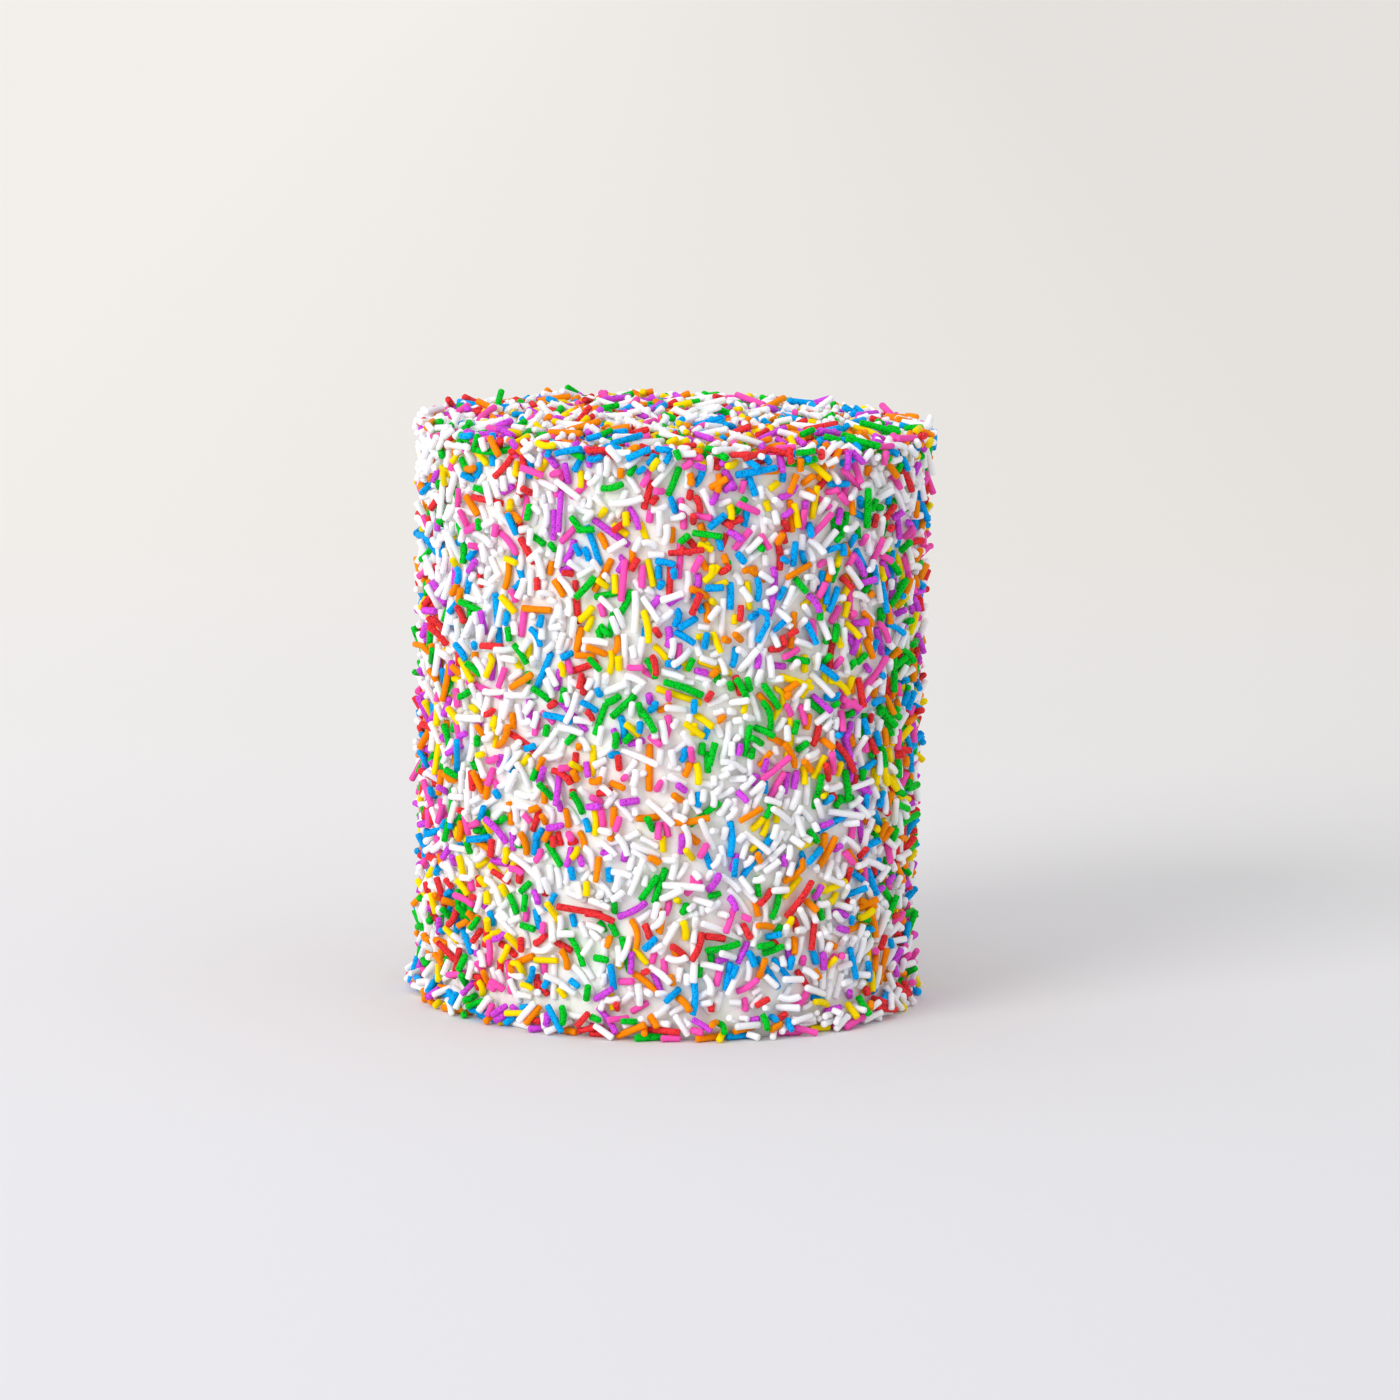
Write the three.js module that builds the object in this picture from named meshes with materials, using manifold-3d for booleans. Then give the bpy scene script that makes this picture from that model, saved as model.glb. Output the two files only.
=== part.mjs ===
// Party cake: a tall round cake of one tier, coated in smooth white icing and covered all over in
// sprinkles, the short sugar rods also called jimmies. The cake is uncut, so it is one solid: the
// iced body, with the longest of its sprinkles fused to the side, the top, the rim and the foot.
// Millimetres, +Z up, origin at the centre of the flat underside. -Y is the front.
import * as THREE from "three";
import Module from "manifold-3d";
import { mergeVertices } from "three/addons/utils/BufferGeometryUtils.js";

// Driving dimensions of the iced body. It widens a little from the foot to the rim.
const ICING_HEIGHT = 131;
const FOOT_RADIUS = 54.8;
const RIM_RADIUS = 56.3;
const RIM_ROUND = 2.4;

// The icing was smoothed by hand, so the cake is out of round by about this share of its radius.
const OUT_OF_ROUND = 0.005;

// On the top the sprinkles lie two or three deep. The body takes in the lower ones as a flat bed,
// with a low drift of them behind and to the right.
const BED_DEPTH = 1.2;
const DRIFT_DEPTH = 1.9;
const DRIFT_RADIUS = 25;
const DRIFT_CENTRE = new THREE.Vector2(24, 19);

// A sprinkle is a blunt rod. Some of them are bent a little at the middle.
const SPRINKLE_RADIUS = 0.75;
const SPRINKLE_SIDES = 6;
const BENT_SHARE = 0.15;
const BEND = 0.7;

// How far a sprinkle's axis lies above the surface, and how far the end of one that sticks out is
// pushed into the icing.
const AXIS_DEPTH = 0.18;
const PUSHED_IN = 0.5;

// How many sprinkles are fused on in each place, and their shortest and longest length there.
const ON_SIDE = { count: 152, shortest: 6.8, longest: 11.8 };
const ON_TOP = { count: 52, shortest: 6.8, longest: 11 };
const ON_RIM = { count: 30, shortest: 5.2, longest: 8.6 };
const AT_FOOT = { count: 34, shortest: 5.2, longest: 8.6 };

// The height band of the side that they cover, and how far from the axis those on the top reach.
const SIDE_LOWEST = 7;
const SIDE_HIGHEST = 125;
const TOP_REACH = 51;

// Facets: steps round the body and rows of its rounded rim, steps and rings of the drift.
const STEPS_ROUND = 48;
const RIM_ROWS = 2;
const DRIFT_STEPS = 16;
const DRIFT_RINGS = 4;

const TOP_HEIGHT = ICING_HEIGHT + BED_DEPTH;
const GOLDEN_ANGLE = Math.PI * (3 - Math.sqrt(5));
const SEED = 5;

const wasm = await Module();
wasm.setup();

// A small seeded generator of numbers from 0 to 1, so that every build draws the same ones.
function seededDraws(seed) {
  let state = seed >>> 0;
  return function draw() {
    state = (state + 0x6d2b79f5) >>> 0;
    let mixed = Math.imul(state ^ (state >>> 15), state | 1);
    mixed ^= mixed + Math.imul(mixed ^ (mixed >>> 7), mixed | 61);
    return ((mixed ^ (mixed >>> 14)) >>> 0) / 2 ** 32;
  };
}

// How much further out than round the body is at an angle.
function outOfRound(angle) {
  return 1 + OUT_OF_ROUND * (Math.sin(3 * angle) + 0.6 * Math.sin(5 * angle + 1));
}

// Radius of the iced side at an angle round it and a height above the foot.
function sideRadius(angle, z) {
  const straight = FOOT_RADIUS + ((RIM_RADIUS - FOOT_RADIUS) * z) / ICING_HEIGHT;
  return straight * outOfRound(angle);
}

// Height of the drift above the bed, at a distance from its middle.
function driftHeight(distance) {
  const share = Math.min(1, distance / DRIFT_RADIUS);
  return (DRIFT_DEPTH * (1 + Math.cos(Math.PI * share))) / 2;
}

// The iced body, lathed from the middle of the underside to the middle of the bed, and then moved
// out of round.
function icedBody() {
  const outline = [new THREE.Vector2(0, 0), new THREE.Vector2(FOOT_RADIUS, 0)];
  for (let row = 0; row <= RIM_ROWS; row++) {
    const turn = (row / RIM_ROWS) * (Math.PI / 2);
    const inset = RIM_ROUND * (1 - Math.cos(turn));
    const drop = RIM_ROUND * (1 - Math.sin(turn));
    outline.push(new THREE.Vector2(RIM_RADIUS - inset, TOP_HEIGHT - drop));
  }
  outline.push(new THREE.Vector2(0, TOP_HEIGHT));

  const body = new THREE.LatheGeometry(outline, STEPS_ROUND).rotateX(Math.PI / 2);
  const position = body.getAttribute("position");
  for (let i = 0; i < position.count; i++) {
    const x = position.getX(i);
    const y = position.getY(i);
    const share = outOfRound(Math.atan2(y, x));
    position.setXYZ(i, x * share, y * share, position.getZ(i));
  }
  return body;
}

// The drift, a low lathed dome that is sunk in the bed by its own skirt.
function drift() {
  const skirt = 1;
  const outline = [new THREE.Vector2(0, -skirt), new THREE.Vector2(DRIFT_RADIUS, -skirt)];
  for (let ring = DRIFT_RINGS; ring >= 0; ring--) {
    const distance = (DRIFT_RADIUS * ring) / DRIFT_RINGS;
    outline.push(new THREE.Vector2(distance, driftHeight(distance)));
  }
  const dome = new THREE.LatheGeometry(outline, DRIFT_STEPS).rotateX(Math.PI / 2);
  return dome.translate(DRIFT_CENTRE.x, DRIFT_CENTRE.y, TOP_HEIGHT);
}

// A place on the cake: its point, the way out of the surface there and the way up along it.
function onSide(angle, z) {
  const out = new THREE.Vector3(Math.cos(angle), Math.sin(angle), 0);
  const point = out.clone().multiplyScalar(sideRadius(angle, z)).setZ(z);
  return { point, out, up: new THREE.Vector3(0, 0, 1) };
}

function onTop(angle, radius) {
  const x = radius * Math.cos(angle);
  const y = radius * Math.sin(angle);
  const height = driftHeight(Math.hypot(x - DRIFT_CENTRE.x, y - DRIFT_CENTRE.y));
  const point = new THREE.Vector3(x, y, TOP_HEIGHT + height);
  return { point, out: new THREE.Vector3(0, 0, 1), up: new THREE.Vector3(0, 1, 0) };
}

function onRim(angle, lean) {
  const level = new THREE.Vector3(Math.cos(angle), Math.sin(angle), 0);
  const out = level.clone().multiplyScalar(Math.cos(lean)).setZ(Math.sin(lean));
  const up = level.clone().multiplyScalar(-Math.sin(lean)).setZ(Math.cos(lean));
  const roundCentre = (RIM_RADIUS - RIM_ROUND) * outOfRound(angle);
  const point = level.multiplyScalar(roundCentre).setZ(TOP_HEIGHT - RIM_ROUND);
  return { point: point.addScaledVector(out, RIM_ROUND), out, up };
}

// The outline across a sprinkle.
const crossSection = new THREE.Shape(
  Array.from({ length: SPRINKLE_SIDES }, (_, side) => {
    const turn = (side / SPRINKLE_SIDES) * Math.PI * 2;
    return new THREE.Vector2(Math.cos(turn), Math.sin(turn)).multiplyScalar(SPRINKLE_RADIUS);
  }),
);

// One sprinkle along a direction, with its middle at a point and a flat side towards the surface.
// Where it is bent, its middle ring is moved sideways along the surface.
function sprinkle(middle, direction, out, length, bend) {
  const rod = new THREE.ExtrudeGeometry(crossSection, {
    depth: length,
    steps: bend === 0 ? 1 : 2,
    bevelEnabled: false,
  });
  rod.translate(0, 0, -length / 2);
  const position = rod.getAttribute("position");
  for (let i = 0; i < position.count; i++) {
    const fromMiddle = Math.abs(position.getZ(i)) / (length / 2);
    position.setX(i, position.getX(i) + bend * (1 - fromMiddle));
  }
  const sideways = new THREE.Vector3().crossVectors(out, direction).normalize();
  const upright = new THREE.Vector3().crossVectors(direction, sideways);
  rod.applyMatrix4(new THREE.Matrix4().makeBasis(sideways, upright, direction));
  rod.translate(middle.x, middle.y, middle.z);
  return rod;
}

// A sprinkle on a place: heading is its angle from the way up along the surface, and lift is its
// angle off the surface.
function layOn(place, heading, lift, length, bend) {
  const across = new THREE.Vector3().crossVectors(place.up, place.out);
  const direction = place.up
    .clone()
    .multiplyScalar(Math.cos(heading) * Math.cos(lift))
    .addScaledVector(across, Math.sin(heading) * Math.cos(lift))
    .addScaledVector(place.out, Math.sin(lift))
    .normalize();
  const height = AXIS_DEPTH + (length / 2 - PUSHED_IN) * Math.sin(lift);
  const middle = place.point.clone().addScaledVector(place.out, height);
  return sprinkle(middle, direction, place.out, length, bend);
}

// The length of the sprinkle at an index. Stepping by a prime spreads the long ones evenly.
function lengthOf(kind, index, draw) {
  const share = (((index * 7) % kind.count) + draw()) / kind.count;
  return kind.longest - (kind.longest - kind.shortest) * share;
}

function bendOf(draw) {
  return draw() < BENT_SHARE ? BEND * (0.5 + 0.5 * draw()) : 0;
}

// On the side they follow an even spiral. More of them hang than lie level, and about one in seven
// sticks out.
function sideSprinkles(draw) {
  const rods = [];
  for (let i = 0; i < ON_SIDE.count; i++) {
    const angle = i * GOLDEN_ANGLE + 0.08 * (draw() - 0.5);
    const z = SIDE_LOWEST + ((SIDE_HIGHEST - SIDE_LOWEST) * (i + draw())) / ON_SIDE.count;
    const heading = (draw() < 0.5 ? -1 : 1) * (Math.PI / 2) * draw() ** 1.35;
    const lift = draw() < 0.14 ? 0.2 + 0.2 * draw() : 0.03 * draw();
    const length = lengthOf(ON_SIDE, i, draw);
    rods.push(layOn(onSide(angle, z), heading, lift, length, bendOf(draw)));
  }
  return rods;
}

// On the top they follow an even spiral from the middle out, and lie every way.
function topSprinkles(draw) {
  const rods = [];
  for (let i = 0; i < ON_TOP.count; i++) {
    const radius = TOP_REACH * Math.sqrt((i + draw()) / ON_TOP.count);
    const place = onTop(i * GOLDEN_ANGLE, radius);
    const heading = 2 * Math.PI * draw();
    const lift = draw() < 0.25 ? 0.15 + 0.25 * draw() : 0.04 * draw();
    const length = lengthOf(ON_TOP, i, draw);
    rods.push(layOn(place, heading, lift, length, bendOf(draw)));
  }
  return rods;
}

// Over the rounded rim they lie mostly along it, and lean out past it.
function rimSprinkles(draw) {
  const rods = [];
  for (let i = 0; i < ON_RIM.count; i++) {
    const angle = ((i + 0.6 * draw()) / ON_RIM.count) * Math.PI * 2;
    const place = onRim(angle, Math.PI * (0.15 + 0.25 * draw()));
    const heading = Math.PI / 2 + 1.3 * (draw() - 0.5);
    const lift = 0.3 * draw();
    const length = lengthOf(ON_RIM, i, draw);
    rods.push(layOn(place, heading, lift, length, bendOf(draw)));
  }
  return rods;
}

// At the foot they lie flat, where they fell against the side. One end of each touches it, and the
// other swings out.
function footSprinkles(draw) {
  const rods = [];
  for (let i = 0; i < AT_FOOT.count; i++) {
    const angle = ((i + 0.6 * draw()) / AT_FOOT.count) * Math.PI * 2;
    const swing = 0.9 * (draw() - 0.5);
    const length = lengthOf(AT_FOOT, i, draw);
    const along = angle + Math.PI / 2 + swing;
    const direction = new THREE.Vector3(Math.cos(along), Math.sin(along), 0);
    const outward = (length / 2 - PUSHED_IN) * Math.abs(Math.sin(swing));
    const radius = sideRadius(angle, 0) + AXIS_DEPTH + outward;
    const z = SPRINKLE_RADIUS + 0.05;
    const middle = new THREE.Vector3(radius * Math.cos(angle), radius * Math.sin(angle), z);
    rods.push(sprinkle(middle, direction, new THREE.Vector3(0, 0, 1), length, 0));
  }
  return rods;
}

// A closed geometry as a solid that can be joined, with its faces pointing out.
function toSolid(geometry) {
  const bare = geometry.clone();
  bare.deleteAttribute("normal");
  bare.deleteAttribute("uv");
  const merged = mergeVertices(bare);
  const vertProperties = merged.getAttribute("position").array;
  const corners = merged.getIndex().array;
  const triVerts = [];
  for (let i = 0; i < corners.length; i += 3) {
    const [a, b, c] = corners.slice(i, i + 3);
    if (a !== b && b !== c && c !== a) triVerts.push(a, b, c);
  }
  const mesh = new wasm.Mesh({
    numProp: 3,
    vertProperties,
    triVerts: new Uint32Array(triVerts),
  });
  return new wasm.Manifold(mesh);
}

// The solid without the scraps and the sealed hollows that joining the sprinkles can leave.
function wholeBody(solid) {
  const bodies = solid.decompose();
  return bodies.reduce((largest, body) => (body.volume() > largest.volume() ? body : largest));
}

function toGeometry(solid) {
  const mesh = solid.getMesh();
  const geometry = new THREE.BufferGeometry();
  geometry.setAttribute("position", new THREE.BufferAttribute(mesh.vertProperties, 3));
  geometry.setIndex(new THREE.BufferAttribute(mesh.triVerts, 1));
  geometry.computeVertexNormals();
  return geometry;
}

// The whole cake: every sprinkle is joined to the iced body.
function sprinkledCake() {
  const draw = seededDraws(SEED);
  const rods = [
    ...sideSprinkles(draw),
    ...topSprinkles(draw),
    ...rimSprinkles(draw),
    ...footSprinkles(draw),
  ];
  let solid = toSolid(icedBody()).add(toSolid(drift()));
  for (const rod of rods) solid = solid.add(toSolid(rod));
  return toGeometry(wholeBody(solid));
}

const buttercream = new THREE.MeshStandardMaterial({
  color: "#f3ede8",
  roughness: 0.55,
  metalness: 0,
});

const cake = new THREE.Mesh(sprinkledCake(), buttercream);
cake.name = "party_cake";

const group = new THREE.Group();
group.add(cake);

export default group;
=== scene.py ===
# Party cake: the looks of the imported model, a tall round cake in smooth white buttercream, covered
# all over in sugar sprinkles. The longest sprinkles lie where the solid has them, and the others
# are laid among them one by one, each coming to rest on the icing or on those under it.
import math
from dataclasses import dataclass

import bmesh
import bpy
import numpy as np
from mathutils import Matrix, Vector


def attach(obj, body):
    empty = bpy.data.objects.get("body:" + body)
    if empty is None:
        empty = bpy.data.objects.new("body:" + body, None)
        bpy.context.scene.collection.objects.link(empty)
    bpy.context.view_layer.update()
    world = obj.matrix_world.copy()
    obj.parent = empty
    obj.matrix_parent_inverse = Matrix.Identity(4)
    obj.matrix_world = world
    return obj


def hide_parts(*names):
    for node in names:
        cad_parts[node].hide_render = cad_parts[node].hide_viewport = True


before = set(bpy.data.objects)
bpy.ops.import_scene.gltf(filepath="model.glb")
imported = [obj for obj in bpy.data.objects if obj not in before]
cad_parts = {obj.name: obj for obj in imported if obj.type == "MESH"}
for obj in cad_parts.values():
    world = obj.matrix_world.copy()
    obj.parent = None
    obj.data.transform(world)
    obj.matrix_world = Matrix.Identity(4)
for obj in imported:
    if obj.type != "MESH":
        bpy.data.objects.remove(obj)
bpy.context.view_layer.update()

# Sizes and places are in millimetres until a mesh is made from them. +Z is up, -Y is the front.
MM = 0.001

# Driving dimensions of the iced body, as in the solid.
ICING_HEIGHT = 131.0
FOOT_RADIUS = 54.8
RIM_RADIUS = 56.3
RIM_ROUND = 2.4
OUT_OF_ROUND = 0.005

# The icing's mesh: rows up the side, steps over the rim, rings on the top and steps round.
SIDE_ROWS = 44
RIM_STEPS = 8
TOP_RINGS = 9
RING_WIDTH = 5.5
STEPS_ROUND = 240

# The heap on the top: its flat bed, and the drift behind and to the right.
BED_DEPTH = 1.2
TOP_HEIGHT = ICING_HEIGHT + BED_DEPTH
DRIFT_DEPTH = 1.9
DRIFT_RADIUS = 25.0
DRIFT_CENTRE = (24.0, 19.0)

# The sprinkles that the solid has: how many in each place, their shortest and longest length, the
# part of the side and of the top that they cover, and how many of them are bent and how much.
ON_SIDE = (152, 6.8, 11.8)
ON_TOP = (52, 6.8, 11.0)
ON_RIM = (30, 5.2, 8.6)
AT_FOOT = (34, 5.2, 8.6)
SIDE_LOWEST = 7.0
SIDE_HIGHEST = 125.0
TOP_REACH = 51.0
BENT_SHARE = 0.15
BEND = 0.7
GOLDEN_ANGLE = math.pi * (3 - math.sqrt(5))
SOLID_SEED = 5

# One of them sticks out from this lift on, and is pushed in this far. None ends up further out from
# its place than the most.
LIFTED_FROM = 0.1
PUSHED_IN = 0.5
MOST_OFF = 2.0

# How many more are laid among them in each place.
SIDE_COUNT = 4900
TOP_COUNT = 1500
RIM_COUNT = 280
FOOT_COUNT = 450
SEED = 7

# Laying stops after this many tries for each sprinkle that is wanted.
MOST_TRIES = 3

# A sprinkle's thickness across the corners of its eight sides, and its length.
THICKNESS = 1.6
TYPICAL_LENGTH = 4.6
LENGTH_SPREAD = 0.37
SHORTEST = 2.3
LONGEST = 9.5

# How much two that touch give way.
SQUASH = 0.04

# Each takes the best of a few places, which are scattered about a first one by this spread.
PLACES = 5
PLACES_AT_FOOT = 8
SPREAD = 2.5
SPREAD_ON_TOP = 3.0

# The steepest slope and the lowest height at which a sprinkle can rest, and how far past its own
# ends the others are looked for: on the side, on the top and the rim, and for one of two that stuck
# together.
STEEPEST = 1.2
LOWEST = -4
NEAR = 3.0
NEAR_ON_TOP = 4.0
NEAR_TWIN = 5.0

# How far out from the axis and up from the icing's top their middle lines reach.
MOST_OUT = 59.6
MOST_UP = 4.3

# On the side: the band that they cover, how deep they are pressed in and how deep the solid's are,
# how far above the icing their lowest point and their middle may be, and the share that lie where
# they first fell. The bias is a power that makes more of them hang than lie level.
SIDE_FROM = 1.5
SIDE_TO = ICING_HEIGHT - 0.8
SHALLOWEST = 0.15
DEEPEST = 0.5
SOLID_PRESSED = 0.3
MOST_GAP = 1.2
MOST_HEIGHT = 1.8
LOOSE_SHARE = 0.2
UPRIGHT_BIAS = 1.35

# Those that stick out on the side: their share, and the ranges of their lift and of how deep their
# end is pressed in.
STANDING_SHARE = 0.05
STANDING_LIFT = (0.25, 0.8)
STANDING_PRESSED = (0.5, 1.2)

# On the top: how far out their middles lie, how deep they and the ends of leaning ones are pressed
# in, how far above the heap each kind reaches, the share that lean on others and the range of their
# lift, and how far any of them hangs down over the edge.
TOP_EDGE = 55.3
TOP_PRESSED = 0.2
END_PRESSED = 0.6
ABOVE_HEAP = 1.7
LEANING_ABOVE_HEAP = 3.0
LEANING_SHARE = 0.3
LEANING_LIFT = (0.2, 0.9)
MOST_HANG = 2.5

# The heap thins out by so much at a distance from the axis, and over a width.
THINNED_BY = 2.0
THIN_AT = 56
THIN_WIDTH = 8

# On the rim: the part of its quarter turn that they cover, how far above the icing their lowest
# point may be, how far up from its top they reach, the share that stick out and their lift.
RIM_LEAN = (0.06, 0.48)
RIM_MOST_GAP = 3.4
RIM_MOST_UP = 2.3
RIM_STANDING_SHARE = 0.22
RIM_LIFT = (0.2, 0.8)

# At the foot: how far they scatter from the side, how high they lie on each other, how far off the
# floor they are kept, as their thickness wavers, and how deep the solid's are pressed into the
# side.
FOOT_SCATTER = 0.9
FOOT_DEPTH = 4.8
OFF_FLOOR = 0.06
FOOT_PRESSED = 0.05

# The share of sprinkles that have another of their colour stuck to them, and the angle between.
TWIN_SHARE = 0.03
TWIN_TURN = (0.4, 1.2)

# The share of sprinkles that are white.
WHITE_SHARE = 0.43

# Places and heights are rounded to this many decimals wherever they decide something.
DECIMALS = 4

# A sprinkle is tested for contact by this many balls along it. A ball that touches nothing would
# come to rest at this height.
BALLS = 9
NOTHING = -60.0

rng = np.random.default_rng(SEED)


def out_of_round(angle):
    return 1 + OUT_OF_ROUND * (np.sin(3 * angle) + 0.6 * np.sin(5 * angle + 1))


def hand_marks(angle, z):
    # The icing was smoothed with a scraper by hand, which left low level waves. They are shallower
    # than any sprinkle is pressed in.
    long_wave = np.sin(2 * angle + z / 11) * np.sin(z / 7.3 + 1.7 * np.sin(angle))
    short_wave = np.sin(7 * angle - z / 17) * np.sin(z / 3.1 + 2 * np.sin(2 * angle + 1))
    return 0.06 * long_wave + 0.03 * short_wave


def round_radius(z):
    # The side widens a little from the foot to the rim.
    return FOOT_RADIUS + (RIM_RADIUS - FOOT_RADIUS) * z / ICING_HEIGHT


def side_radius(angle, z):
    return round_radius(z) * out_of_round(angle)


def drift_height(x, y):
    share = np.minimum(1, np.hypot(x - DRIFT_CENTRE[0], y - DRIFT_CENTRE[1]) / DRIFT_RADIUS)
    return DRIFT_DEPTH * (1 + np.cos(math.pi * share)) / 2


def icing_distance(points):
    # How far points lie outside the icing: a cylinder with a rounded rim, out of round.
    x, y, z = points[..., 0], points[..., 1], points[..., 2]
    beside = np.hypot(x, y) - side_radius(np.arctan2(y, x), z) + RIM_ROUND
    above = z - ICING_HEIGHT + RIM_ROUND
    outside = np.hypot(np.maximum(beside, 0), np.maximum(above, 0))
    return outside + np.minimum(np.maximum(beside, above), 0) - RIM_ROUND


def steady(values):
    # Rounded, so that the last digits of a sum, which can differ from run to run, decide nothing.
    # The shift keeps a half of the last decimal from being rounded now up and now down.
    return np.round(values + 0.3 / 10**DECIMALS, DECIMALS)


def unit(vectors):
    return vectors / np.sqrt((vectors * vectors).sum(-1, keepdims=True))


def square_to(a, b):
    # The cross product of vectors.
    ax, ay, az = a[..., 0], a[..., 1], a[..., 2]
    bx, by, bz = b[..., 0], b[..., 1], b[..., 2]
    return np.stack([ay * bz - az * by, az * bx - ax * bz, ax * by - ay * bx], -1)


def stacked(x, y, z):
    return np.stack(np.broadcast_arrays(x, y, z), -1).astype(float)


# Places on the cake, one or several at a time: each is its points, the way out of the surface there
# and the way up along it.
def on_side(angle, z):
    radius = side_radius(angle, z)
    out = stacked(np.cos(angle), np.sin(angle), 0)
    return stacked(radius * np.cos(angle), radius * np.sin(angle), z), out, stacked(0 * z, 0, 1)


def on_top(x, y, height):
    return stacked(x, y, height), stacked(0 * x, 0, 1), stacked(0 * x, 1, 0)


def on_rim(angle, lean, height):
    level = stacked(np.cos(angle), np.sin(angle), 0)
    upright = np.array([0, 0, 1.0])
    cos, sin = np.cos(lean)[..., None], np.sin(lean)[..., None]
    out = level * cos + upright * sin
    up = upright * cos - level * sin
    middle = level * ((RIM_RADIUS - RIM_ROUND) * out_of_round(angle))[..., None]
    return middle + upright * (height - RIM_ROUND) + out * RIM_ROUND, out, up


def direction_on(place, heading, lift=0.0):
    # The direction at an angle from the way up along the surface, and at an angle off the surface.
    _, out, up = place
    heading = np.asarray(heading)[..., None]
    lift = np.asarray(lift)[..., None]
    level = up * np.cos(heading) + square_to(up, out) * np.sin(heading)
    return level * np.cos(lift) + out * np.sin(lift)


# A sprinkle's shape is a round rod along a middle line. The line is straight up to a share of its
# length, and from there it turns evenly by an angle.
def bent_line(length, turn, straight, along):
    start = length * (straight - 0.5)
    curvature = np.where(np.abs(turn) < 1e-3, 1e-3, turn) / (length * (1 - straight))
    past = np.maximum(along - start, 0)
    x = np.minimum(along, start) + np.sin(curvature * past) / curvature
    y = (1 - np.cos(curvature * past)) / curvature
    return x, y, curvature * past


def middle_line(length, turn, straight, along):
    # The same line about its own middle, with its two ends level. It gives the places along and
    # beside, and the angle there.
    shares = np.linspace(-0.5, 0.5, BALLS)
    x, y, _ = bent_line(length, turn, straight, length * shares)
    x0 = x.mean(-1, keepdims=True)
    y0 = y.mean(-1, keepdims=True)
    level = np.arctan2(y[..., -1:] - y[..., :1], x[..., -1:] - x[..., :1])
    x, y, angle = bent_line(length, turn, straight, along)
    x, y = x - x0, y - y0
    cos, sin = np.cos(level), np.sin(level)
    return x * cos + y * sin, y * cos - x * sin, angle - level


@dataclass
class Lies:
    # How a sprinkle would lie at one or several places: its middle, its direction and the way it
    # bends, the balls along it, how far its lowest ball and its balls on average are above the
    # icing, and whether it stays there.
    middles: np.ndarray
    directions: np.ndarray
    sideways: np.ndarray
    balls: np.ndarray
    gaps: np.ndarray
    heights: np.ndarray
    stays: np.ndarray


@dataclass
class Sprinkle:
    length: float
    radius: float
    turn: float
    straight: float
    colour: str
    zone: str
    middle: np.ndarray = None
    direction: np.ndarray = None
    sideways: np.ndarray = None


# Of the coloured ones, the share that each colour has.
COLOURS = {
    "red": 0.125,
    "orange": 0.157,
    "yellow": 0.148,
    "green": 0.16,
    "blue": 0.16,
    "purple": 0.115,
    "pink": 0.135,
}
COLOUR_NAMES = list(COLOURS)
COLOUR_LINE = np.cumsum(list(COLOURS.values()))


def draw_colour(place=None):
    # They were pressed on by the handful, and some handfuls were whiter than others.
    white = WHITE_SHARE
    if place is not None:
        angle = math.atan2(place[1], place[0])
        white += 0.1 * math.sin(2 * angle + place[2] / 30 + 3.1)
        white += 0.05 * math.sin(5 * angle - place[2] / 14)
    if rng.random() < white:
        return "white"
    return COLOUR_NAMES[min(np.searchsorted(COLOUR_LINE, rng.random()), len(COLOUR_NAMES) - 1)]


def draw_shape(zone):
    # Just over half are straight, a third are slightly bent, a few are strongly bent, and a few are
    # hooked at one end.
    length = TYPICAL_LENGTH * math.exp(LENGTH_SPREAD * rng.standard_normal())
    length = min(max(length, SHORTEST), LONGEST)
    radius = THICKNESS / 2 * rng.uniform(0.92, 1.07)
    kind = rng.random()
    straight = 0.0
    if kind < 0.55:
        turn = rng.uniform(0, 0.15)
    elif kind < 0.88:
        turn = rng.uniform(0.2, 0.7)
    elif kind < 0.96 or length < 4:
        turn = rng.uniform(0.7, 1.3)
    else:
        turn = rng.uniform(1.3, 2.4)
        straight = rng.uniform(0.45, 0.65)
    return Sprinkle(length, radius, turn, straight, "white", zone)


class Heap:
    # All the sprinkles laid so far, with the balls that stand for each when another comes to rest.
    def __init__(self):
        room = 8000
        self.sprinkles = []
        self.middles = np.zeros((room, 3))
        self.reaches = np.zeros(room)
        self.radii = np.zeros(room)
        self.balls = np.zeros((room, BALLS, 3))

    def add(self, sprinkle, lies, which=0):
        index = len(self.sprinkles)
        sprinkle.middle = lies.middles[which]
        sprinkle.direction = lies.directions[which]
        sprinkle.sideways = lies.sideways[which]
        self.sprinkles.append(sprinkle)
        self.middles[index] = sprinkle.middle
        self.reaches[index] = sprinkle.length / 2
        self.radii[index] = sprinkle.radius
        self.balls[index] = lies.balls[which]

    def near(self, points, reach, skip):
        # The balls near some points that are close to each other.
        count = len(self.sprinkles)
        centre = points.mean(0)
        reach = reach + math.sqrt(((points - centre) ** 2).sum(1).max())
        apart = self.middles[:count] - centre
        close = (apart * apart).sum(1) < (self.reaches[:count] + reach) ** 2
        if skip >= 0:
            close[skip] = False
        close = np.nonzero(close)[0]
        return self.balls[close].reshape(-1, 3), np.repeat(self.radii[close], BALLS)


def heights_on_icing(balls, gap, out):
    # How far out each ball has to be from its place to lie on the icing.
    height = np.full(balls.shape[:-1], 6.0)
    for _ in range(8):
        away = icing_distance(balls + height[..., None] * out[:, None]) - gap
        height -= away
        if np.abs(away).max() < 0.01:
            return height
    return np.where(np.abs(away) < 0.1, height, NOTHING)


def heights_on_floor(balls, gap, out):
    # How far up each ball has to be from its place to lie on the floor.
    return gap - balls[..., 2]


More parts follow.
